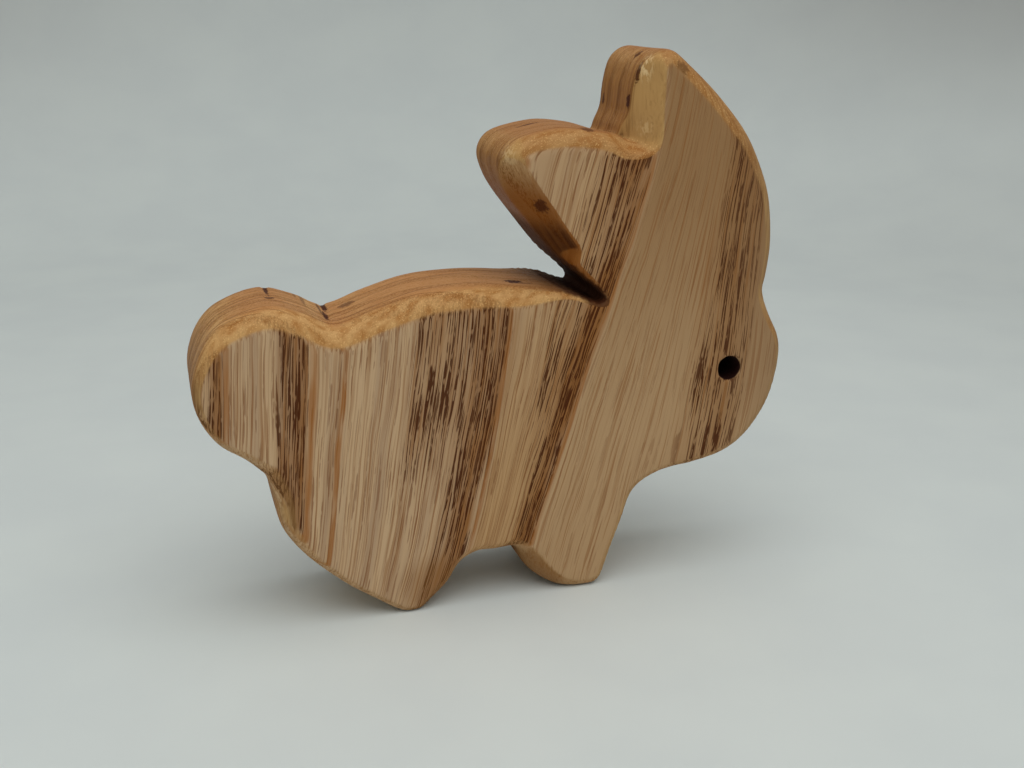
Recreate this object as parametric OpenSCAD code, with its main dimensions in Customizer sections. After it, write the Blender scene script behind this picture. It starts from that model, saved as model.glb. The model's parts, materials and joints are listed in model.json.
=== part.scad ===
// Standing rabbit cut out of one solid ash board, with hand-rounded edges.
// The board lies in the X-Z plane: nose towards +X, ears up, thickness along Y.
// The origin is on the ground under the middle of the board.

/* [Board] */
// Overall length, from the tail to the nose
body_length = 98; // [70:1:160]
// Overall height, from the feet to the top of the far ear
body_height = 89.5; // [64:0.5:146]
// Thickness of the board
board_thick = 20; // [14:1:32]

/* [Edges] */
// Share of the drawn rounding that the edges get
edge_share = 1; // [0.4:0.1:1]

/* [Eye] */
// Diameter of the eye, drilled right through
eye_d = 4; // [2:0.5:8]
// Distance from the tip of the nose back to the middle of the eye
eye_setback = 10; // [7:0.5:14]
// Height of the middle of the eye above the ground
eye_height = 37.25; // [32:0.25:44]

/* [Smoothness] */
// Short lines that draw the curve between two neighbouring outline points
curve_steps = 5; // [2:1:6]
// Steps from the face round to the edge of the board
round_steps = 5; // [3:1:8]

/* [Hidden] */

wood = [0.72, 0.58, 0.42];

// Thickness of board that the rounding radii below are drawn for
drawn_thick = 20;

// The outline, clockwise from the notch under the tail. A row is [x, z, rounding radius].
// Every list is one smooth curve, and two lists meet in a corner or a straight line.
tail_and_back = [
    [-39.5, 26.5, 2.5], // notch between the tail and the haunch
    [-42.5, 29.5, 1.6],
    [-46.5, 32.5, 1.2],
    [-49, 37, 1.2],
    [-49.5, 42, 1.4],   // end of the tail
    [-47.5, 47.5, 2.2],
    [-44, 51, 3],
    [-37.5, 53, 3.4],   // top of the tail
    [-32, 51.5, 3.8],
    [-27.5, 49.5, 4],   // dip between the tail and the back
    [-21, 51.5, 3.8],
    [-13.5, 53.5, 3.8],
    [-5.5, 54, 3.8],    // hump of the back
    [2, 53.5, 3.4],
    [9, 52.5, 1.2],
    [13, 51, 0.6],
    [16, 50, 0.4],      // blind end of the saw cut behind the head
];
near_ear = [
    [15.5, 51.5, 0.4],  // the cut ends as wide as the saw blade
    [13.5, 53.5, 0.6],
    [10, 56.5, 1.2],
    [5.5, 61.5, 3.4],
    [1.5, 66.5, 4],
    [-0.5, 70, 4],
    [-1, 73.5, 3.4],    // end of the near ear
    [1.5, 76.5, 3],
    [8, 78, 3.4],
    [14, 77.5, 3.4],
    [17, 76.5, 3],
    [19, 75.5, 2.6],    // crotch between the ears
    [19.5, 77.5, 3.2],
    [20.5, 80, 3.7],
    [21, 84.5, 3.8],
    [22.5, 88, 3],
    [26, 89.5, 2.6],    // top of the far ear
    [30, 87, 3],
    [35.5, 82, 3.3],
    [40.5, 76, 3],
    [43.5, 70, 2.4],
    [45, 64.5, 2],
    [45.5, 58, 1.8],    // forehead
    [45, 53, 1.6],
    [44.5, 50, 1.5],    // bridge of the nose
    [46, 46, 1.4],
    [48, 42, 1.3],
    [48.5, 38, 1.3],    // nose
    [47, 31.5, 1.2],
    [43.5, 25.5, 1.2],
    [39, 22, 1.2],      // chin
    [33, 20.5, 1.1],
    [26.5, 19.5, 1.1],
    [22, 17, 1],        // chest
    [20, 12, 1],
    [18, 6.5, 1],
    [16.5, 2, 1],
    [15.5, 0.5, 1],
    [14, 0, 1.2],       // toe of the front foot
];
front_leg = [
    [11, 0, 1.6],       // heel of the front foot
    [8, 0.5, 2.6],
    [4.5, 2.5, 3.8],
    [2.5, 5, 4],
    [1.5, 7.5, 3],
    [0.5, 9, 1.8],
    [-3, 9, 1.2],       // belly
    [-6, 9, 1.2],
    [-9, 7.5, 1.1],
    [-11, 4.5, 1],
    [-13.5, 2, 1],
    [-16, 0, 0.8],      // toe of the rear foot
];
haunch = [
    [-18.5, 0, 0.8],    // heel of the rear foot
    [-22, 2, 1],
    [-28, 6.5, 1],
    [-34, 12, 1.5],
    [-37.5, 17, 2.8],
    [-38.5, 22, 3.5],
    [-39.5, 26.5, 2.5],
];

// Point at share t of the stretch from b to c, on the smooth curve through a, b, c and d
function curve_point(a, b, c, d, t) =
    0.5 * (2 * b + (c - a) * t
        + (2 * a - 5 * b + 4 * c - d) * t * t
        + (3 * b - a - 3 * c + d) * t * t * t);

// Point number i of a list, carried on in a straight line past both ends
function run_point(run, i) =
    i < 0 ? 2 * run[0] - run[1]
    : i < len(run) ? run[i]
    : 2 * run[len(run) - 1] - run[len(run) - 2];

// The smooth curve through a list, without the list's last point
function curve(run) = [
    for (i = [0:len(run) - 2])
        for (k = [0:curve_steps - 1])
            curve_point(run_point(run, i - 1), run[i], run[i + 1], run_point(run, i + 2), k / curve_steps)
];

drawn = concat(
    curve(tail_and_back), [tail_and_back[len(tail_and_back) - 1]],
    curve(near_ear), [near_ear[len(near_ear) - 1]],
    curve(front_leg), [front_leg[len(front_leg) - 1]],
    curve(haunch)
);
count = len(drawn);

drawn_left = min([for (p = drawn) p[0]]);
drawn_right = max([for (p = drawn) p[0]]);
drawn_low = min([for (p = drawn) p[1]]);
drawn_high = max([for (p = drawn) p[1]]);

scale_x = body_length / (drawn_right - drawn_left);
scale_z = body_height / (drawn_high - drawn_low);
scale_edge = edge_share * min(scale_x, scale_z, board_thick / drawn_thick);

// The outline at its real size, standing on the ground and centred on the origin
outline = [
    for (p = drawn) [
        (p[0] - (drawn_left + drawn_right) / 2) * scale_x,
        max(0, p[1] - drawn_low) * scale_z,
    ]
];
edge_radius = [for (p = drawn) p[2] * scale_edge];

// Unit vector square to the line from p to q, pointing into the wood
function inward(p, q) = [q[1] - p[1], p[0] - q[0]] / norm(q - p);

// Longest step of a corner point, as a multiple of the rounding radius
mitre_limit = 1.4;

// For each outline point, the way that it moves when the outline shrinks by 1 mm
mitre = [
    for (i = [0:count - 1])
        let (
            before = inward(outline[(i + count - 1) % count], outline[i]),
            after = inward(outline[i], outline[(i + 1) % count]),
            step = (before + after) / (1 + before * after)
        )
        step * min(1, mitre_limit / norm(step))
];

// Ring of points where the rounding has turned by the given angle from the face to the edge
function ring(angle, side) = [
    for (i = [0:count - 1])
        let (
            inset = edge_radius[i] * (1 - sin(angle)),
            depth = board_thick / 2 - edge_radius[i] * (1 - cos(angle)),
            at = outline[i] + inset * mitre[i]
        )
        [at[0], side * depth, at[1]]
];

front_rings = [for (k = [0:round_steps]) ring(90 * k / round_steps, -1)];
back_rings = [for (k = [0:round_steps]) ring(90 - 90 * k / round_steps, 1)];
rings = concat(front_rings, back_rings);
last_ring = len(rings) - 1;

board_points = [for (r = rings) each r];
front_face = [for (i = [0:count - 1]) i];
back_face = [for (i = [count - 1:-1:0]) last_ring * count + i];
edge_faces = [
    for (k = [0:last_ring - 1])
        for (i = [0:count - 1])
            let (
                next = (i + 1) % count,
                near = k * count,
                far = near + count
            )
            each [[near + i, far + i, far + next], [near + i, far + next, near + next]]
];

module board_blank() {
    resize([body_length, board_thick, body_height])
        polyhedron(points = board_points, faces = concat([front_face, back_face], edge_faces));
}

module eye_drill() {
    drill_length = board_thick + 2;
    translate([body_length / 2 - eye_setback, 0, eye_height])
        rotate([90, 0, 0])
            cylinder(d = eye_d, h = drill_length, center = true, $fn = 48);
}

module rabbit_board() {
    color(wood)
        difference() {
            board_blank();
            eye_drill();
        }
}

rabbit_board();
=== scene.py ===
import json
import math
from types import SimpleNamespace

import bmesh
import bpy
import numpy as np
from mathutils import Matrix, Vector, noise


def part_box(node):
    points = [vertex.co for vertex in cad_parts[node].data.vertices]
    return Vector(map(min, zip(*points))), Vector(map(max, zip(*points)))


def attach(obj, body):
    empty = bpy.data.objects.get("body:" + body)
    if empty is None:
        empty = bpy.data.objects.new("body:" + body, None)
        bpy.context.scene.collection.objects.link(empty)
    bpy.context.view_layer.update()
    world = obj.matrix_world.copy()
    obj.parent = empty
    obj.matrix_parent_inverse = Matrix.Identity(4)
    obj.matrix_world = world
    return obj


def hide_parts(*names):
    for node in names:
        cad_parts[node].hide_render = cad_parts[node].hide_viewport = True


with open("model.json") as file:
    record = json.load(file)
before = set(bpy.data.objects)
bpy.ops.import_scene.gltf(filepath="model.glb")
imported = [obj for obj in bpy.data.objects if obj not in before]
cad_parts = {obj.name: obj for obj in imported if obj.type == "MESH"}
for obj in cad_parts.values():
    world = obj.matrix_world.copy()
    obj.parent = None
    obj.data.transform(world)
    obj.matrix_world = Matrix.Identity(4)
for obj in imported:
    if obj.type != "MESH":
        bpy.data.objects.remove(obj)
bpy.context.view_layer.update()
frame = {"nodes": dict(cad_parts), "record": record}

MM = 0.001
BOARD = frame["nodes"]["rabbit_board"]
FACE_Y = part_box("rabbit_board")[0].y / MM  # the face that is seen first, in millimetres
HALF_THICK = -FACE_Y

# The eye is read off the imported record's mount, so it stays where the CAD drilled it.
EYE = next(m for m in frame["record"]["mounts"] if m["name"] == "eye")
EYE_X = EYE["pos_m"][0] / MM
EYE_Z = EYE["pos_m"][2] / MM
EYE_RADIUS = EYE["dims"]["r_mm"]

# ---------------------------------------------------------------- shape of the wood

VOXEL = 0.5 * MM          # size of the remesh
SMOOTH_ROUNDS = 3
SANDING_DEPTH = 0.14      # mm, how far hand sanding wanders on the rounded edges
SANDING_LENGTH = 7.0      # mm, distance between two hollows of the sanding
SAW_MARK_DEPTH = 0.07     # mm, ripples of the saw blade in the cut behind the head
SAW_MARK_PITCH = 1.3      # mm

# The saw cut behind the head, from its blind end to its mouth
CUT_END = (16.0, 0.0, 50.5)
CUT_MOUTH = (9.0, 0.0, 54.5)

# Cracks and dents that go into the surface: start, end, half width and depth, in mm
GROOVES = [
    ((-36.0, 8.5, 52.5), (-36.0, 0.0, 53.0), 0.4, 0.25),    # short crack on top of the tail
    ((-27.0, 9.0, 49.0), (-27.5, -3.5, 49.5), 0.55, 0.45),  # crack across the dip of the back
    ((10.0, 8.5, 52.5), (10.0, -8.5, 51.5), 0.5, 0.3),      # step where the saw cut begins
    ((21.0, 5.0, 76.0), (20.0, -5.0, 75.5), 0.45, 0.35),    # crease between the ears
]

# Chamfers cut with a knife: a point of the plane, its outward normal, the two ends of the
# edge that it follows, and how far from that edge it reaches, in mm
FACETS = [
    ((4.0, -10.0, 70.0), (-7.0, -5.0, -5.0), (1.5, 0.0, 70.5), (6.5, 0.0, 62.5), 5.0),   # near ear
    ((25.0, -10.0, 82.0), (-1.0, -1.0, 0.0), (22.0, 0.0, 87.0), (21.5, 0.0, 79.5), 4.0),  # far ear
]
FACET_SOFTNESS = 0.45     # mm, how rounded the borders of a chamfer are


def segment_distance(points, start, end):
    """Distance from each point to the straight line between start and end."""
    a = np.array(start, float)
    along = np.array(end, float) - a
    share = np.clip((points - a) @ along / (along @ along), 0.0, 1.0)
    return np.linalg.norm(points - a - share[:, None] * along, axis=1)


def seen_from_front(points):
    """The points, all brought to the middle of the board's thickness."""
    return points * (1.0, 0.0, 1.0)


def smooth_step(value, low, high):
    """0 below low, 1 above high, and a smooth step between."""
    share = np.clip((value - low) / (high - low), 0.0, 1.0)
    return share * share * (3.0 - 2.0 * share)


def remeshed_copy(node, name):
    """A copy of a CAD node, welded and remeshed evenly, as a new object."""
    copy = bpy.data.objects.new(name + "_source", node.data.copy())
    bpy.context.scene.collection.objects.link(copy)
    weld = copy.modifiers.new("weld", "WELD")
    weld.merge_threshold = 0.002 * MM
    remesh = copy.modifiers.new("remesh", "REMESH")
    remesh.mode = "VOXEL"
    remesh.voxel_size = VOXEL
    bpy.context.view_layer.update()
    graph = bpy.context.evaluated_depsgraph_get()
    mesh = bpy.data.meshes.new_from_object(copy.evaluated_get(graph))
    mesh.name = name
    mesh.materials.clear()
    bpy.data.objects.remove(copy)
    piece = bpy.data.objects.new(name, mesh)
    bpy.context.scene.collection.objects.link(piece)
    return piece


def mesh_points(mesh):
    points = np.empty(len(mesh.vertices) * 3, np.float32)
    mesh.vertices.foreach_get("co", points)
    return points.reshape(-1, 3).astype(float) / MM


def mesh_normals(mesh):
    normals = np.empty(len(mesh.vertices) * 3, np.float32)
    mesh.vertex_normals.foreach_get("vector", normals)
    return normals.reshape(-1, 3).astype(float)


def smoothed(points, mesh, weights, rounds):
    """Moves each point towards the mean of its neighbours, by its own weight, some rounds over."""
    ends = np.empty(len(mesh.edges) * 2, np.int32)
    mesh.edges.foreach_get("vertices", ends)
    first, second = ends[0::2], ends[1::2]
    count = np.bincount(ends, minlength=len(points)).astype(float)
    for _ in range(rounds):
        mean = np.zeros_like(points)
        for axis in range(3):
            mean[:, axis] += np.bincount(first, points[second, axis], len(points))
            mean[:, axis] += np.bincount(second, points[first, axis], len(points))
        mean /= count[:, None]
        points = points + weights[:, None] * (mean - points)
    return points


def work_the_surface(mesh):
    """Puts the marks of the tools and of the sanding into the remeshed wood."""
    points = mesh_points(mesh)
    from_cut = segment_distance(seen_from_front(points), CUT_END, CUT_MOUTH)
    kept_crisp = 1.0 - smooth_step(from_cut, 1.5, 4.0)
    points = smoothed(points, mesh, 0.5 - 0.38 * kept_crisp, SMOOTH_ROUNDS)
    for base, normal, start, end, reach in FACETS:
        normal = np.array(normal) / np.linalg.norm(normal)
        above = (points - base) @ normal
        soft = (above + FACET_SOFTNESS) ** 2 / (4.0 * FACET_SOFTNESS)
        cut = np.where(above > FACET_SOFTNESS, above, np.where(above > -FACET_SOFTNESS, soft, 0.0))
        from_edge = segment_distance(seen_from_front(points), start, end)
        cut *= 1.0 - smooth_step(from_edge, reach, reach + 2.5)
        cut *= smooth_step(-points[:, 1], -1.0, 2.0)
        points = points - cut[:, None] * normal
    mesh.vertices.foreach_set("co", (points * MM).astype(np.float32).ravel())
    mesh.update()
    normals = mesh_normals(mesh)
    edge = smooth_step(1.0 - np.abs(normals[:, 1]), 0.01, 0.2)
    from_eye = np.hypot(points[:, 0] - EYE_X, points[:, 2] - EYE_Z)
    away_from_eye = smooth_step(from_eye, EYE_RADIUS + 1.0, EYE_RADIUS + 2.5)
    above_floor = smooth_step(points[:, 2], 0.4, 2.5)

    push = np.zeros(len(points))
    for i, (x, y, z) in enumerate(points):
        if edge[i] > 0.0 and away_from_eye[i] > 0.0:
            spot = Vector((x, y * 0.6, z)) / SANDING_LENGTH
            push[i] = noise.noise(spot) * SANDING_DEPTH - 0.3 * SANDING_DEPTH
    push *= edge * away_from_eye * above_floor

    from_cut = segment_distance(seen_from_front(points), CUT_END, CUT_MOUTH)
    in_cut = 1.0 - smooth_step(from_cut, 2.0, 4.5)
    ripple = np.sin(points[:, 0] * 2.0 * math.pi / SAW_MARK_PITCH + points[:, 1] * 0.5)
    push += in_cut * edge * ripple * SAW_MARK_DEPTH

    for start, end, half_width, depth in GROOVES:
        away = segment_distance(points, start, end)
        push -= depth * edge * (1.0 - smooth_step(away, 0.0, half_width * 2.0))

    points += normals * push[:, None]

    # The drill left a true round bore with a crisp rim.
    from_eye = np.hypot(points[:, 0] - EYE_X, points[:, 2] - EYE_Z)
    bore = (from_eye < EYE_RADIUS + 0.45) & (np.abs(points[:, 1]) < HALF_THICK - 0.25)
    scale = np.where(bore, EYE_RADIUS / np.maximum(from_eye, 0.1), 1.0)
    points[:, 0] = EYE_X + (points[:, 0] - EYE_X) * scale
    points[:, 2] = EYE_Z + (points[:, 2] - EYE_Z) * scale
    points[:, 2] = np.maximum(points[:, 2], 0.0)
    mesh.vertices.foreach_set("co", (points * MM).astype(np.float32).ravel())
    mesh.update()


# ---------------------------------------------------------------- material helpers


def srgb(red, green, blue):
    """A colour given as it looks on screen, 0 to 255, as the linear colour that Blender wants."""
    def channel(value):
        value /= 255.0
        return value / 12.92 if value <= 0.04045 else ((value + 0.055) / 1.055) ** 2.4
    return (channel(red), channel(green), channel(blue), 1.0)


class Graph:
    """Short calls that build one material's nodes."""

    def __init__(self, name):
        self.material = bpy.data.materials.new(name)
        self.material.use_nodes = True
        self.tree = self.material.node_tree
        self.tree.nodes.clear()

    def node(self, kind, **settings):
        made = self.tree.nodes.new(kind)
        for key, value in settings.items():
            setattr(made, key, value)
        return made

    def put(self, value, socket):
        if isinstance(value, bpy.types.NodeSocket):
            self.tree.links.new(value, socket)
        else:
            socket.default_value = value

    def math(self, operation, a, b=0.0, c=0.0):
        made = self.node("ShaderNodeMath", operation=operation)
        self.put(a, made.inputs[0])
        self.put(b, made.inputs[1])
        self.put(c, made.inputs[2])
        return made.outputs[0]

    def times(self, first, *others):
        """The product of several values."""
        for other in others:
            first = self.math("MULTIPLY", first, other)
        return first

    def extreme(self, operation, values):
        """The smallest of several values with MINIMUM, the largest with MAXIMUM."""
        result = values[0]
        for value in values[1:]:
            result = self.math(operation, result, value)
        return result

    def vector(self, operation, a, b=(0.0, 0.0, 0.0)):
        made = self.node("ShaderNodeVectorMath", operation=operation)
        self.put(a, made.inputs[0])
        self.put(b, made.inputs[1])
        return made.outputs["Value" if operation in ("LENGTH", "DOT_PRODUCT") else "Vector"]

    def combine(self, x, y, z):
        made = self.node("ShaderNodeCombineXYZ")
        self.put(x, made.inputs[0])
        self.put(y, made.inputs[1])
        self.put(z, made.inputs[2])
        return made.outputs[0]

    def split(self, value):
        made = self.node("ShaderNodeSeparateXYZ")
        self.put(value, made.inputs[0])
        return made.outputs[0], made.outputs[1], made.outputs[2]

    def step(self, value, low, high, first=0.0, last=1.0):
        """first below low, last above high, and a smooth step between."""
        made = self.node("ShaderNodeMapRange", interpolation_type="SMOOTHSTEP")
        self.put(value, made.inputs["Value"])
        self.put(low, made.inputs["From Min"])
        self.put(high, made.inputs["From Max"])
        self.put(first, made.inputs["To Min"])
        self.put(last, made.inputs["To Max"])
        return made.outputs[0]

    def noise(self, vector, detail=2.0, roughness=0.5):
        """Noise between 0 and 1 whose lumps are one unit of the vector apart."""
        made = self.node("ShaderNodeTexNoise", noise_dimensions="3D")
        self.put(vector, made.inputs["Vector"])
        self.put(1.0, made.inputs["Scale"])
        self.put(detail, made.inputs["Detail"])
        self.put(roughness, made.inputs["Roughness"])
        return made.outputs[0]

    def mix(self, share, first, second):
        made = self.node("ShaderNodeMix", data_type="RGBA")
        self.put(share, made.inputs[0])
        self.put(first, made.inputs[6])
        self.put(second, made.inputs[7])
        return made.outputs[2]

    def ramp(self, value, stops):
        """stops is a list of (position from 0 to 1, colour)."""
        made = self.node("ShaderNodeValToRGB")
        made.color_ramp.interpolation = "LINEAR"
        elements = made.color_ramp.elements
        while len(elements) > 1:
            elements.remove(elements[-1])
        for i, (place, colour) in enumerate(stops):
            element = elements[0] if i == 0 else elements.new(place)
            element.position = place
            element.color = colour
        self.put(value, made.inputs[0])
        return made.outputs[0]

    def finish(self, colour, roughness, specular, height, bump_strength, bump_depth):
        """Ends the material in one shader with a bump, and returns it."""
        bump = self.node("ShaderNodeBump")
        self.put(bump_strength, bump.inputs["Strength"])
        self.put(bump_depth, bump.inputs["Distance"])
        self.put(height, bump.inputs["Height"])
        shader = self.node("ShaderNodeBsdfPrincipled")
        self.put(colour, shader.inputs["Base Color"])
        self.put(roughness, shader.inputs["Roughness"])
        self.put(specular, shader.inputs["Specular IOR Level"])
        self.put(bump.outputs[0], shader.inputs["Normal"])
        output = self.node("ShaderNodeOutputMaterial")
        self.put(shader.outputs[0], output.inputs["Surface"])
        return self.material


# ---------------------------------------------------------------- the ash board

# The yearly rings lie nearly flat in the board. One millimetre deeper into the board,
# a ring is DEPTH_SLOPE millimetres further left, so every ring has one position: the
# distance along X at which it meets the front face at the height RING_HEIGHT.
DEPTH_SLOPE = 4.6
RING_HEIGHT = 45.0
EAR_HEIGHT = 66.0     # above this, the grain bends upright again
EAR_BEND = 0.0068
FIRST_RING = -60.0
LAST_RING = 160.0

# A colour ramp holds values from 0 to 1, so lean and curve are stored in it enlarged.
LEAN_SCALE = 2.0
CURVE_SCALE = 100.0

# Lean of the grain at a ring position: (position, sideways per mm up, extra curve low down)
LEAN = [
    (-44, 0.09, 0.0000),
    (-30, 0.05, 0.0020),
    (-26, 0.09, 0.0013),
    (0, 0.12, 0.0025),
    (7, 0.24, 0.0014),
    (15, 0.31, 0.0003),
    (28, 0.22, 0.0003),
    (36, 0.12, 0.0008),
    (43, 0.06, 0.0020),
    (60, 0.05, 0.0010),
    (150, 0.04, 0.0010),
]

# Dark, open-pored wood along the rings: (position, how dark). Each ring ends suddenly.
BANDS = [
    (-50, 0.15), (-47, 0.35), (-45.6, 0.85), (-44.2, 1.0), (-43.9, 0.0),
    (-36.5, 0.05), (-35.6, 0.85), (-31.3, 1.0), (-31.0, 0.1),
    (-28, 0.0), (-26.6, 0.35), (-26.0, 0.0),
    (-21, 0.05), (-15.8, 0.1), (-14.6, 0.75), (-9, 0.55), (-4.8, 0.75), (-3.2, 1.0),
    (-0.6, 1.0), (-0.4, 0.0),
    (5, 0.1), (8, 0.5), (10, 0.65), (12, 0.8), (13.2, 1.0), (15.1, 1.0), (15.4, 0.0),
    (32, 0.0), (35, 0.55), (39, 0.7), (42.4, 0.5), (43.2, 0.0),
]
BACK_BANDS = [
    (52, 0.0), (60, 0.3), (65.5, 0.9), (66.3, 0.0),
    (76, 0.1), (83.4, 0.8), (84, 0.0),
    (95, 0.2), (104.5, 0.9), (105, 0.0),
    (112, 0.0), (121.5, 0.7), (122, 0.0),
    (132, 0.1), (139.5, 0.9), (140, 0.0),
]
# Thin orange lines where a new year's growth starts: (position, half width, strength)
GROWTH_LINES = [
    (-43.6, 0.6, 0.9),
    (-30.5, 0.7, 1.0),
    (-25.9, 0.6, 1.0),
    (-0.2, 0.5, 0.9),
    (15.4, 0.5, 0.9),
    (66.4, 1.0, 0.6),
    (84.2, 1.0, 0.7),
    (105.2, 1.0, 0.6),
    (122.2, 1.0, 0.7),
]

PALE = srgb(208, 174, 136)
PALE_GREY = srgb(188, 156, 124)
HEAD_PALE = srgb(190, 154, 114)
HEAD_TOP_SHADE = srgb(162, 124, 84)
FIBRE = srgb(160, 114, 72)
BROWN = srgb(144, 90, 38)
STREAK = srgb(72, 28, 0)
PALE_STREAK = srgb(122, 70, 30)
WARM = srgb(188, 144, 92)
ORANGE = srgb(160, 98, 40)
LINE = srgb(146, 94, 48)
OLIVE = srgb(136, 72, 4)
SHADED_UNDER_EDGE = srgb(170, 130, 84)
HEEL = srgb(130, 82, 32)
TOE = srgb(140, 92, 44)
EAR_FACET = srgb(194, 150, 92)
GOLD = srgb(210, 162, 104)
GOLD_DEEP = srgb(182, 126, 68)
PINK_SHEEN_TOP = srgb(194, 136, 82)
SIDE_PALE = srgb(198, 158, 104)
SIDE_DARK = srgb(178, 124, 64)
GOLD_BAND = srgb(150, 96, 50)
GOLD_HIGH = srgb(140, 86, 36)
SIDE_FIBRE = srgb(140, 94, 50)
SIDE_BAND = srgb(112, 70, 32)
EDGE_LINE = srgb(134, 82, 38)
EDGE_RING = srgb(128, 78, 34)
EDGE_PORE = srgb(110, 64, 24)
SPARKLE_HIGHLIGHT = srgb(250, 208, 140)
CUT_RIM = srgb(88, 50, 24)
NOSE_SHADE = srgb(138, 104, 74)
HUMP_END_SHADE = srgb(96, 62, 40)
STAIN = srgb(78, 34, 8)
GLINT = srgb(250, 220, 168)
SCORCH_AND_SHADE = srgb(60, 26, 8)
EYE_DARK = srgb(38, 14, 8)

# Spots and stains: centre and reach in mm along X, Y and Z, and strength
STAINS = [
    ((-36.0, 5.0, 53.0), (0.4, 4.5, 1.5), 1.0),      # crack on top of the tail
    ((-36.0, -1.0, 53.0), (0.8, 0.8, 1.2), 0.95),
    ((-27.0, 5.0, 49.5), (0.5, 4.0, 2.0), 1.0),      # crack across the dip
    ((-27.5, -1.0, 49.5), (0.5, 3.4, 2.0), 1.0),
    ((-28.0, 3.0, 49.5), (0.3, 3.5, 1.5), 0.7),
    ((-30.5, 4.0, 51.0), (0.35, 4.0, 1.4), 0.5),
    ((-31.5, 6.0, 51.0), (0.3, 3.0, 1.4), 0.4),
    ((-24.0, 1.5, 50.5), (1.8, 1.3, 1.2), 0.6),      # smudge on the hump
    ((2.5, -4.0, 53.5), (1.7, 1.3, 1.5), 1.0),       # spot on the hump
    ((4.0, -5.0, 53.5), (2.0, 0.6, 1.0), 0.5),
    ((5.5, -8.5, 66.0), (1.3, 1.8, 1.5), 0.9),       # spot on the near ear
    ((6.5, 1.0, 77.5), (2.2, 0.6, 1.0), 0.8),        # line on top of the near ear
    ((13.5, -7.0, 77.5), (1.3, 1.4, 0.8), 0.7),
    ((21.0, -5.0, 81.5), (1.2, 0.8, 1.4), 1.0),      # spots on the far ear
    ((21.0, 5.5, 81.0), (1.0, 0.6, 1.0), 0.8),
    ((23.5, -2.5, 88.5), (1.0, 0.8, 1.2), 0.8),
    ((22.0, -6.5, 86.0), (1.0, 0.5, 2.2), 0.9),
    ((28.0, -9.5, 86.5), (1.5, 1.0, 1.2), 0.55),
    ((20.5, 0.0, 75.5), (0.7, 5.5, 0.5), 0.8),       # crease between the ears
]
# Painted highlights where the fibres' ends shine: centre and reach in mm, and strength
GLINTS = [
    ((23.0, -7.5, 87.0), (1.8, 1.6, 3.4), 0.65),     # top of the far ear
    ((22.5, -8.5, 77.5), (1.8, 2.5, 2.2), 0.3),      # between the ears
    ((1.0, -7.5, 74.0), (2.4, 2.4, 2.2), 0.42),      # tip of the near ear
    ((8.0, -8.0, 51.0), (4.0, 2.0, 1.5), 0.35),      # end of the hump
]


def ring_share(position):
    """Where a ring position lies between the first and the last ring, from 0 to 1."""
    return (position - FIRST_RING) / (LAST_RING - FIRST_RING)


def grey(value):
    return (value, value, value, 1.0)


def flat_distance(g, w, centres):
    """Distance to the nearest of some centres (x, z), measured along the board's face."""
    distances = []
    for centre_x, centre_z in centres:
        away = g.vector("SUBTRACT", w.flat_point, (centre_x, 0.0, centre_z))
        distances.append(g.vector("LENGTH", away))
    return g.extreme("MINIMUM", distances)


def add_places(g, w):
    """The place, the direction of the surface and the masks that come from them."""
    texture = g.node("ShaderNodeTexCoord")
    w.point = g.vector("MULTIPLY", texture.outputs["Object"], (1 / MM, 1 / MM, 1 / MM))
    w.x, w.y, w.z = g.split(w.point)
    w.nx, w.ny, w.nz = g.split(texture.outputs["Normal"])
    w.facing = g.math("ABSOLUTE", w.ny)   # 1 on the two faces of the board, 0 on its edges
    w.flat_point = g.vector("MULTIPLY", w.point, (1.0, 0.0, 1.0))
    w.from_eye = flat_distance(g, w, [(EYE_X, EYE_Z)])
    clear_of_eye = g.step(w.from_eye, EYE_RADIUS + 0.8, EYE_RADIUS + 1.6)
    w.off_face = g.times(g.step(w.facing, 0.955, 0.99, 1.0, 0.0), clear_of_eye)


def add_rings(g, w):
    """Ring position of a point, and its place across the grain."""
    wander = g.noise(g.vector("MULTIPLY", w.point, (0.05, 0.12, 0.025)), detail=1.0)
    waver = g.noise(g.vector("MULTIPLY", w.point, (0.2, 0.2, 0.045)), detail=2.0)
    sway = g.math("MULTIPLY_ADD", g.math("SUBTRACT", wander, 0.5), 2.4,
                  g.math("SUBTRACT", waver, 0.5))
    deep = g.math("MULTIPLY_ADD", g.math("ADD", w.y, HALF_THICK), DEPTH_SLOPE, w.x)
    up = g.math("SUBTRACT", w.z, RING_HEIGHT)
    low = g.math("MINIMUM", up, 0.0)
    low_squared = g.times(low, low)
    high = g.math("MAXIMUM", g.math("SUBTRACT", w.z, EAR_HEIGHT), 0.0)
    start = g.math("ADD", g.math("ADD", deep, sway), g.times(high, high, EAR_BEND))

    # The lean depends on the ring, so the ring is found in three rounds.
    stops = [(ring_share(p), (LEAN_SCALE * s, CURVE_SCALE * q, 0, 1)) for p, s, q in LEAN]
    w.ring = start
    for _ in range(3):
        lean, curve, _ = g.split(g.ramp(share_of_ring(g, w), stops))
        sideways = g.times(lean, 1.0 / LEAN_SCALE, up)
        bend = g.times(curve, 1.0 / CURVE_SCALE, low_squared)
        w.ring = g.math("ADD", g.math("SUBTRACT", start, sideways), bend)
    across = g.math("SUBTRACT", w.x, g.math("SUBTRACT", start, w.ring))
    w.across = g.math("ADD", across, sway)


def share_of_ring(g, w):
    return g.math("DIVIDE", g.math("SUBTRACT", w.ring, FIRST_RING), LAST_RING - FIRST_RING)


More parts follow.
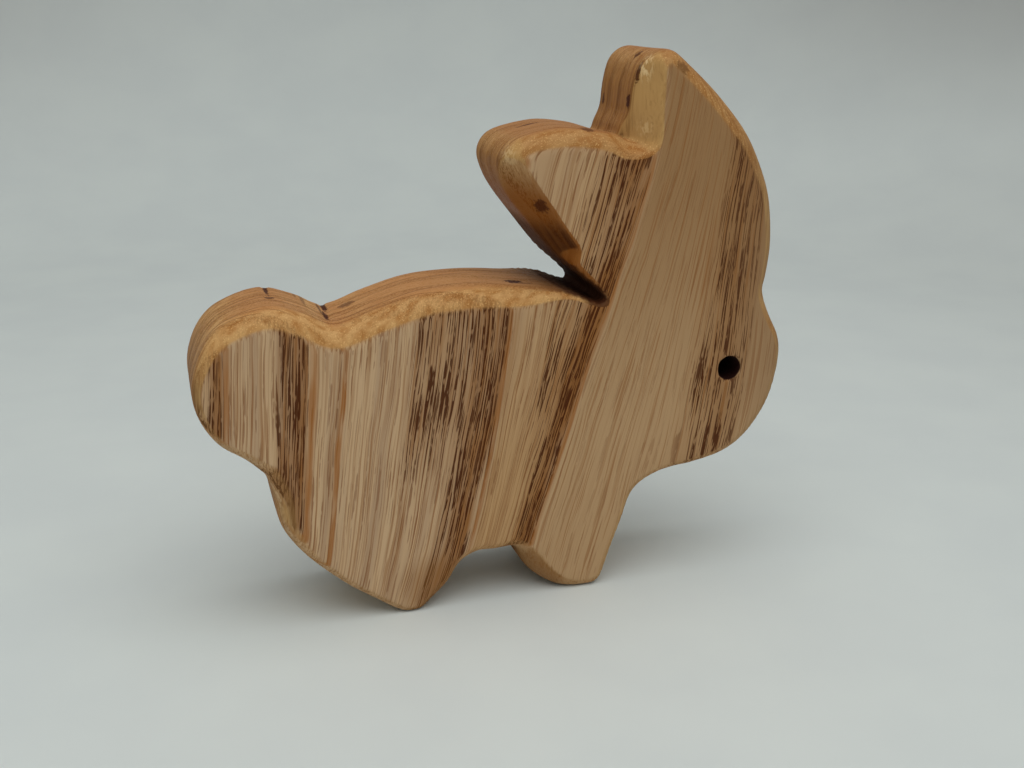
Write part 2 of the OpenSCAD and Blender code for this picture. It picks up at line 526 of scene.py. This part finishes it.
def add_bands(g, w):
    """How dark and open-pored the wood is, from 0 to 1."""
    share = share_of_ring(g, w)
    front = g.ramp(share, [(ring_share(p), grey(v)) for p, v in BANDS])
    back = g.ramp(share, [(ring_share(p), grey(v)) for p, v in BACK_BANDS])
    patchy = g.noise(g.combine(g.times(w.across, 0.25), g.times(w.y, 0.3), g.times(w.z, 0.06)), detail=2.0)
    patchy = g.step(patchy, 0.3, 0.6, 0.7, 1.0)

    # Low down, two of the dark bands keep only their last few millimetres.
    faded = []
    for band_end, kept_width in ((-0.4, 6.0), (15.4, 3.8)):
        before_kept = g.step(w.ring, band_end - kept_width - 1.5, band_end - kept_width, 1.0, 0.0)
        faded.append(g.times(before_kept, g.step(w.ring, band_end - 17.0, band_end - 16.0)))
    narrow = g.times(g.extreme("MAXIMUM", faded), g.step(w.z, 18.0, 34.0, 0.8, 0.0))
    front = g.times(front, g.math("SUBTRACT", 1.0, narrow))

    # The band of the near ear doesn't go on above the fork of the ears.
    above_fork = g.times(g.step(w.z, 73.0, 77.0), g.step(w.ring, 22.0, 26.0, 1.0, 0.0))
    front = g.times(front, g.math("SUBTRACT", 1.0, above_fork))
    w.band = g.times(g.math("MAXIMUM", front, back), patchy)


def along_grain(g, w, fine, length, detail, roughness=0.6):
    """Noise that is fine across the grain and long along it."""
    stretched = g.combine(g.times(w.across, fine), g.times(w.y, fine), g.times(w.z, 1.0 / length))
    return g.noise(stretched, detail, roughness)


def add_pores(g, w):
    """Fibres, and the dark dashes of the open pores, which crowd in the bands."""
    w.fibre = along_grain(g, w, 3.0, 30.0, 2.0)
    vessels = along_grain(g, w, 2.8, 15.0, 0.0)
    hairs = along_grain(g, w, 4.6, 10.0, 0.0)
    breaks = along_grain(g, w, 2.8, 2.4, 1.0)
    threshold = g.math("MULTIPLY_ADD", w.band, -0.14, 0.665)
    vessel_ink = g.step(g.math("SUBTRACT", vessels, threshold), -0.005, 0.025)
    hair_ink = g.step(g.math("SUBTRACT", hairs, threshold), -0.005, 0.03, 0.0, 0.85)
    ink = g.math("MAXIMUM", vessel_ink, hair_ink)
    w.pore_ink = g.times(ink, g.step(breaks, 0.36, 0.46, 0.2, 1.0))


def add_growth_lines(g, w):
    lines = []
    for position, half_width, strength in GROWTH_LINES:
        away = g.math("ABSOLUTE", g.math("SUBTRACT", w.ring, position))
        lines.append(g.step(away, 0.4 * half_width, half_width, strength, 0.0))
    w.growth_line = g.extreme("MAXIMUM", lines)


def face_colour(g, w):
    """Colour of the two flat faces."""
    broad = along_grain(g, w, 0.4, 80.0, 2.0)
    thin_lines = along_grain(g, w, 1.0, 38.0, 2.0, 0.5)
    fine_lines = along_grain(g, w, 2.6, 24.0, 1.0)
    head = g.step(w.ring, 14.0, 17.0)
    body_colour = g.mix(g.step(broad, 0.35, 0.65), PALE, PALE_GREY)
    # Painted shade: the face of the head darkens towards its top.
    head_colour = g.mix(g.step(w.z, 25.0, 75.0), HEAD_PALE, HEAD_TOP_SHADE)
    colour = g.mix(head, body_colour, head_colour)
    between = g.times(g.step(w.ring, -0.5, 1.0), g.step(w.ring, 12.0, 16.0, 1.0, 0.0))
    colour = g.mix(g.times(between, g.step(w.z, 15.0, 60.0, 0.65, 0.3)), colour, WARM)

    # The fibres, lines and pores are fainter in the head.
    fibre_strength = g.math("MULTIPLY_ADD", head, -0.65, 1.0)
    colour = g.mix(g.times(g.step(w.fibre, 0.47, 0.62, 0.0, 0.45), fibre_strength), colour, FIBRE)
    colour = g.mix(g.step(thin_lines, 0.61, 0.64, 0.0, 0.3), colour, LINE)
    colour = g.mix(g.step(fine_lines, 0.58, 0.62, 0.0, 0.5), colour, LINE)
    dense = g.times(w.band, w.band)
    colour = g.mix(g.math("MULTIPLY_ADD", dense, 0.4, g.times(w.band, 0.5)), colour, BROWN)
    calm = g.times(head, g.step(w.band, 0.1, 0.4, 0.5, 0.0))
    streak_share = g.times(w.pore_ink, g.step(w.band, 0.0, 0.6, 0.5, 0.92), g.math("SUBTRACT", 1.0, calm))
    colour = g.mix(streak_share, colour, g.mix(g.step(w.band, 0.1, 0.5), PALE_STREAK, STREAK))
    faint = g.step(along_grain(g, w, 0.6, 9.0, 1.0), 0.35, 0.6, 0.35, 0.75)
    faint = g.times(faint, g.step(w.z, 73.0, 77.0, 1.0, 0.0))
    return g.mix(g.times(w.growth_line, faint), colour, ORANGE)


def cut_across_share(g, w):
    """0 where an edge follows the fibres, 1 where it cuts across them."""
    in_outline = g.math("SQRT", g.math("MULTIPLY_ADD", w.nx, w.nx, g.times(w.nz, w.nz)))
    upright = g.math("DIVIDE", g.math("ABSOLUTE", w.nz), g.math("MAXIMUM", in_outline, 0.01))
    return g.step(upright, 0.1, 0.7)


def end_grain_colour(g, w, top):
    """Where the fibres are cut across, the oil turns the wood golden; painted sheen makes the parts facing
    up or down duller, and painted shade darkens those facing down.
    """
    cloud = g.noise(g.combine(g.times(w.across, 0.5), w.y, g.times(w.z, 0.1)), detail=3.0)
    gold = g.mix(g.step(cloud, 0.35, 0.7), GOLD, GOLD_DEEP)
    # Painted sheen: the parts facing straight up or down are duller and pinker.
    gold = g.mix(g.times(top, 0.8), gold, PINK_SHEEN_TOP)
    gold = g.mix(g.times(w.band, 0.15), gold, GOLD_BAND)
    gold = g.mix(g.step(w.z, 60.0, 74.0, 0.0, 0.35), gold, GOLD_HIGH)
    # Painted shade: the edges that face down are darker.
    return g.mix(g.step(w.nz, -0.25, 0.1, 0.75, 0.0), gold, SHADED_UNDER_EDGE)


def edge_colour(g, w):
    """Colour of the edges of the board, rounded and flat."""
    cut_across = cut_across_share(g, w)
    top = g.step(g.math("ABSOLUTE", w.nz), 0.86, 0.985)
    side = g.mix(g.step(w.facing, 0.25, 0.6), SIDE_DARK, SIDE_PALE)
    side = g.mix(g.step(w.fibre, 0.35, 0.7, 0.0, 0.5), side, SIDE_FIBRE)
    side = g.mix(g.times(w.band, 0.7), side, SIDE_BAND)
    colour = g.mix(cut_across, side, end_grain_colour(g, w, top))

    ear_facet = g.times(g.step(w.z, 62.0, 68.0), g.step(w.nx, -0.5, -0.25, 0.8, 0.0),
                        g.step(w.ny, -0.35, -0.15, 1.0, 0.0))
    colour = g.mix(ear_facet, colour, EAR_FACET)
    lines = g.noise(g.vector("MULTIPLY", w.point, (0.05, 1.7, 0.05)), detail=2.0)
    lines = g.times(g.step(lines, 0.55, 0.6, 0.0, 0.5), g.step(w.facing, 0.15, 0.45, 1.0, 0.0))
    colour = g.mix(lines, colour, EDGE_LINE)
    off_front = g.step(w.facing, 0.3, 0.6, 0.6, 0.0)
    colour = g.mix(g.times(w.growth_line, off_front), colour, EDGE_RING)
    pore_share = g.times(w.pore_ink, g.math("MULTIPLY_ADD", w.band, 0.25, 0.12))
    colour = g.mix(pore_share, colour, EDGE_PORE)
    # Painted highlights: specks of light on the fibres cut across, fainter on the parts facing up or down.
    painted_sparkle = g.noise(g.vector("MULTIPLY", w.point, (4.2, 4.2, 4.2)), detail=1.0)
    painted_sparkle = g.times(g.step(painted_sparkle, 0.56, 0.72), g.step(top, 0.0, 1.0, 0.35, 0.08), cut_across)
    colour = g.mix(painted_sparkle, colour, SPARKLE_HIGHLIGHT)
    # Scorch and painted shade darken the blind end of the saw cut.
    from_cut_end = flat_distance(g, w, [(15.5, 50.8)])
    return g.mix(g.step(from_cut_end, 1.5, 4.0, 0.95, 0.0), colour, CUT_RIM)


def add_local_tints(g, w, colour):
    """Places that are browner than the wood around them, some of it painted shade."""
    # The lower left edge of the near ear, browner: partly wood that drank more oil, partly painted shade
    # on the side that faces left
    from_ear_edge = flat_distance(g, w, [(1.0, 69.0), (4.0, 64.5), (7.5, 60.5), (11.0, 57.0)])
    oil_and_shade = g.times(g.step(from_ear_edge, 3.5, 6.5, 1.0, 0.0), g.step(w.z, 66.5, 74.5, 1.0, 0.0),
                   g.step(w.nx, -0.1, 0.3, 0.8, 0.0), w.off_face)
    colour = g.mix(oil_and_shade, colour, OLIVE)

    # The toe of the rear foot
    from_toe = flat_distance(g, w, [(-13.0, 4.0)])
    colour = g.mix(g.step(from_toe, 3.0, 7.5, 0.45, 0.0), colour, TOE)

    # The rounded heel of the front foot
    from_heel = flat_distance(g, w, [(4.0, 2.5)])
    colour = g.mix(g.times(g.step(from_heel, 4.0, 8.0, 0.6, 0.0), w.off_face), colour, HEEL)

    # The nose, darkened with painted shade
    nose = g.times(g.step(w.x, 34.0, 48.0), g.step(w.z, 20.0, 34.0, 0.2, 0.4))
    return g.mix(nose, colour, NOSE_SHADE)


def add_burn(g, w, colour):
    """Scorched wood in the saw cut behind the head, with painted shade deep in the cut and under the ear.
    """
    from_cut = flat_distance(g, w, [(16.0, 50.5), (13.5, 52.0), (11.0, 53.5), (8.5, 55.5)])
    soot = g.noise(g.vector("MULTIPLY", w.point, (0.8, 0.35, 0.8)), detail=3.0)
    # Scorch along the cut, deepened with painted shade on its walls.
    deep = g.step(g.math("MULTIPLY_ADD", soot, 2.0, from_cut), 1.8, 4.2, 0.8, 0.0)
    deep = g.times(deep, g.step(w.facing, 0.5, 0.8, 1.0, 0.0))
    in_reach = g.times(g.step(w.z, 48.0, 49.5), g.step(w.x, 17.0, 18.5, 1.0, 0.0))
    ragged_x = g.math("MULTIPLY_ADD", soot, 1.2, w.x)
    lower_lip = g.times(g.step(ragged_x, 10.1, 10.7), g.step(w.z, 53.5, 55.0, 1.0, 0.0), in_reach,
                        g.step(w.facing, 0.6, 0.9, 1.0, 0.0))
    # Painted shade on the underside of the ear, where it faces down over the cut.
    upper_lip = g.times(g.step(w.nz, -0.45, -0.15, 1.0, 0.0), g.step(w.z, 61.0, 65.0, 1.0, 0.0),
                        g.step(w.x, 0.5, 4.0), in_reach, g.step(w.facing, 0.55, 0.85, 0.85, 0.0))
    saw_lines = g.noise(g.combine(g.times(w.y, 1.5), g.times(w.x, 0.12), 0.0), detail=2.0)
    w.burn = g.times(g.extreme("MAXIMUM", [deep, lower_lip, upper_lip]),
                     g.step(saw_lines, 0.35, 0.65, 0.97, 0.68), w.off_face)
    colour = g.mix(w.burn, colour, SCORCH_AND_SHADE)

    # Painted shade on the end of the hump, where it runs in under the ear into the cut
    hump_end_shade = g.times(g.step(w.x, 2.0, 9.5), g.step(w.x, 11.0, 13.0, 1.0, 0.0),
                    g.step(w.z, 54.5, 56.0, 1.0, 0.0), g.step(w.z, 49.0, 51.0),
                    g.step(w.facing, 0.3, 0.6, 0.55, 0.0), g.step(w.nz, 0.3, 0.7))
    return g.mix(hump_end_shade, colour, HUMP_END_SHADE)


def from_spot(g, w, centre, reach):
    """Distance to the centre of a spot, as a share of its reach."""
    scaled = g.vector("DIVIDE", g.vector("SUBTRACT", w.point, centre), reach)
    return g.vector("LENGTH", scaled)


def add_spots(g, w, colour):
    """Dark stains with ragged borders, and painted highlights on bare end grain."""
    ragged = g.noise(g.vector("MULTIPLY", w.point, (1.8, 1.8, 1.8)), detail=3.0)
    offset = g.math("MULTIPLY_ADD", ragged, 1.6, -0.8)
    stains = []
    for centre, reach, strength in STAINS:
        away = g.math("ADD", from_spot(g, w, centre, reach), offset)
        stains.append(g.step(away, 0.6, 1.1, strength, 0.0))
    colour = g.mix(g.times(g.extreme("MAXIMUM", stains), w.off_face), colour, STAIN)

    glints = []
    for centre, reach, strength in GLINTS:
        glints.append(g.step(from_spot(g, w, centre, reach), 0.2, 1.0, strength, 0.0))
    glint_breakup = g.noise(g.combine(g.times(w.x, 2.4), g.times(w.y, 2.4), g.times(w.z, 1.1)), detail=2.0)
    bright = g.times(g.extreme("MAXIMUM", glints), g.step(glint_breakup, 0.44, 0.6), w.off_face)
    return g.mix(bright, colour, GLINT)


def ash_material():
    g = Graph("ash_wood")
    w = SimpleNamespace()   # what the parts of the material share about the wood at a point
    add_places(g, w)
    add_rings(g, w)
    add_bands(g, w)
    add_pores(g, w)
    add_growth_lines(g, w)

    # The lower edges stay close to the colour of the face.
    low_rim = g.times(g.step(w.nz, -0.2, 0.05, 0.6, 0.0), g.step(w.facing, 0.2, 0.6))
    edge_share = g.times(w.off_face, g.math("SUBTRACT", 1.0, low_rim))
    colour = g.mix(edge_share, face_colour(g, w), edge_colour(g, w))
    colour = add_local_tints(g, w, colour)
    colour = add_burn(g, w, colour)
    colour = add_spots(g, w, colour)
    # Drill scorch and painted shade darken the inside of the eye bore.
    in_eye = g.step(w.from_eye, EYE_RADIUS + 0.03, EYE_RADIUS + 0.2, 1.0, 0.0)
    colour = g.mix(in_eye, colour, EYE_DARK)

    rough = g.math("MULTIPLY_ADD", w.pore_ink, 0.2, 0.46)
    rough = g.math("MULTIPLY_ADD", g.math("MAXIMUM", w.burn, in_eye), 0.35, rough)
    rough = g.math("MULTIPLY_ADD", w.fibre, 0.12, rough)
    height = g.math("MULTIPLY_ADD", w.pore_ink, -0.8, w.fibre)
    return g.finish(colour, rough, 0.12, height, 0.5, 0.08 * MM)


# ---------------------------------------------------------------- stage, light, camera

# The floor and the lamp are in metres.
FLAT_RADIUS = 0.28
SWEEP_RADIUS = 0.22
WALL_TOP = 0.45
WALL_SIDES = 96
FLAT_RINGS = 10
SWEEP_RINGS = 16

PAPER = srgb(226, 233, 231)
PAPER_CLOUD = srgb(222, 229, 228)
WALL_SHADE = srgb(154, 153, 150)

WINDOW_PLACE = (0.0, -0.2, 0.55)
WINDOW_SIZE = 0.8
WINDOW_POWER = 2.25
WINDOW_COLOUR = (1.0, 0.99, 0.96)
ROOM_COLOUR = (0.97, 0.98, 1.0, 1.0)
ROOM_STRENGTH = 0.33

CAMERA_PLACE = (-53.0, -181.5, 96.5)   # mm
CAMERA_TURN = math.radians(17.3)       # to the right of straight at the board's face
CAMERA_DIP = math.radians(18.0)        # below level
CAMERA_LENS = 41.5


def floor_material():
    g = Graph("pale_paper")
    place = g.node("ShaderNodeTexCoord")
    cloud = g.noise(g.vector("MULTIPLY", place.outputs["Object"], (30.0, 30.0, 30.0)), detail=3.0)
    colour = g.mix(g.step(cloud, 0.3, 0.7), PAPER, PAPER_CLOUD)
    # Painted shade: across the picture, the paper darkens to the sides and up the wall.
    px, py, height = g.split(place.outputs["Object"])
    sideways = g.math("MULTIPLY_ADD", px, 0.955, g.math("MULTIPLY_ADD", py, -0.298, 0.06))
    right = g.step(sideways, 0.08, 0.38, 0.0, 0.26)
    sideways = g.math("ABSOLUTE", sideways)
    shade = g.math("MULTIPLY", g.step(height, -0.01, 0.13), g.step(sideways, 0.05, 0.35, 0.3, 0.8))
    shade = g.math("MAXIMUM", shade, right)
    colour = g.mix(shade, colour, WALL_SHADE)
    grain = g.noise(g.vector("MULTIPLY", place.outputs["Object"], (900.0, 900.0, 900.0)), detail=2.0)
    return g.finish(colour, 0.7, 0.2, grain, 0.15, 0.05 * MM)


def make_floor():
    """Pale paper: flat under the object, and swept up into a round wall far from it."""
    profile = [(i / FLAT_RINGS * FLAT_RADIUS, 0.0) for i in range(1, FLAT_RINGS + 1)]
    for i in range(1, SWEEP_RINGS + 1):
        angle = math.radians(90.0 * i / SWEEP_RINGS)
        radius = FLAT_RADIUS + SWEEP_RADIUS * math.sin(angle)
        profile.append((radius, SWEEP_RADIUS * (1.0 - math.cos(angle))))
    profile.append((FLAT_RADIUS + SWEEP_RADIUS, WALL_TOP))
    shell = bmesh.new()
    centre = shell.verts.new((0.0, 0.0, 0.0))
    before = None
    for radius, height in profile:
        ring = []
        for i in range(WALL_SIDES):
            angle = 2.0 * math.pi * i / WALL_SIDES
            ring.append(shell.verts.new((radius * math.cos(angle), radius * math.sin(angle), height)))
        for i in range(WALL_SIDES):
            j = (i + 1) % WALL_SIDES
            if before is None:
                shell.faces.new((centre, ring[i], ring[j]))
            else:
                shell.faces.new((before[i], ring[i], ring[j], before[j]))
        before = ring
    mesh = bpy.data.meshes.new("floor")
    shell.to_mesh(mesh)
    shell.free()
    mesh.shade_smooth()
    floor = bpy.data.objects.new("floor", mesh)
    bpy.context.scene.collection.objects.link(floor)
    mesh.materials.append(floor_material())


def area_light(name, place, target, size, power, colour):
    data = bpy.data.lights.new(name, "AREA")
    data.shape = "DISK"
    data.size = size
    data.energy = power
    data.color = colour
    light = bpy.data.objects.new(name, data)
    light.location = place
    light.rotation_mode = "QUATERNION"
    aim = Vector(target) - Vector(place)
    light.rotation_quaternion = aim.to_track_quat("-Z", "Y")
    bpy.context.scene.collection.objects.link(light)


def make_world():
    world = bpy.data.worlds.new("soft_room")
    world.use_nodes = True
    background = world.node_tree.nodes["Background"]
    background.inputs["Color"].default_value = ROOM_COLOUR
    background.inputs["Strength"].default_value = ROOM_STRENGTH
    bpy.context.scene.world = world


def make_camera():
    data = bpy.data.cameras.new("camera")
    data.sensor_width = 36.0
    data.lens = CAMERA_LENS
    data.clip_start = 0.01
    data.clip_end = 10.0
    camera = bpy.data.objects.new("camera", data)
    camera.location = Vector(CAMERA_PLACE) * MM
    camera.rotation_mode = "QUATERNION"
    level = math.cos(CAMERA_DIP)
    to_right = math.sin(CAMERA_TURN) * level
    to_back = math.cos(CAMERA_TURN) * level
    ahead = Vector((to_right, to_back, -math.sin(CAMERA_DIP)))
    camera.rotation_quaternion = ahead.to_track_quat("-Z", "Y")
    bpy.context.scene.collection.objects.link(camera)
    bpy.context.scene.camera = camera


make_camera()
make_world()
make_floor()
area_light("window", WINDOW_PLACE, (0.0, 0.0, 0.0), WINDOW_SIZE, WINDOW_POWER, WINDOW_COLOUR)

rabbit = remeshed_copy(BOARD, "rabbit_wood")
work_the_surface(rabbit.data)
rabbit.data.shade_smooth()
rabbit.data.materials.append(ash_material())
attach(rabbit, "root")
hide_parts("rabbit_board")

bpy.context.scene.view_settings.view_transform = "Standard"

bpy.context.view_layer.update()
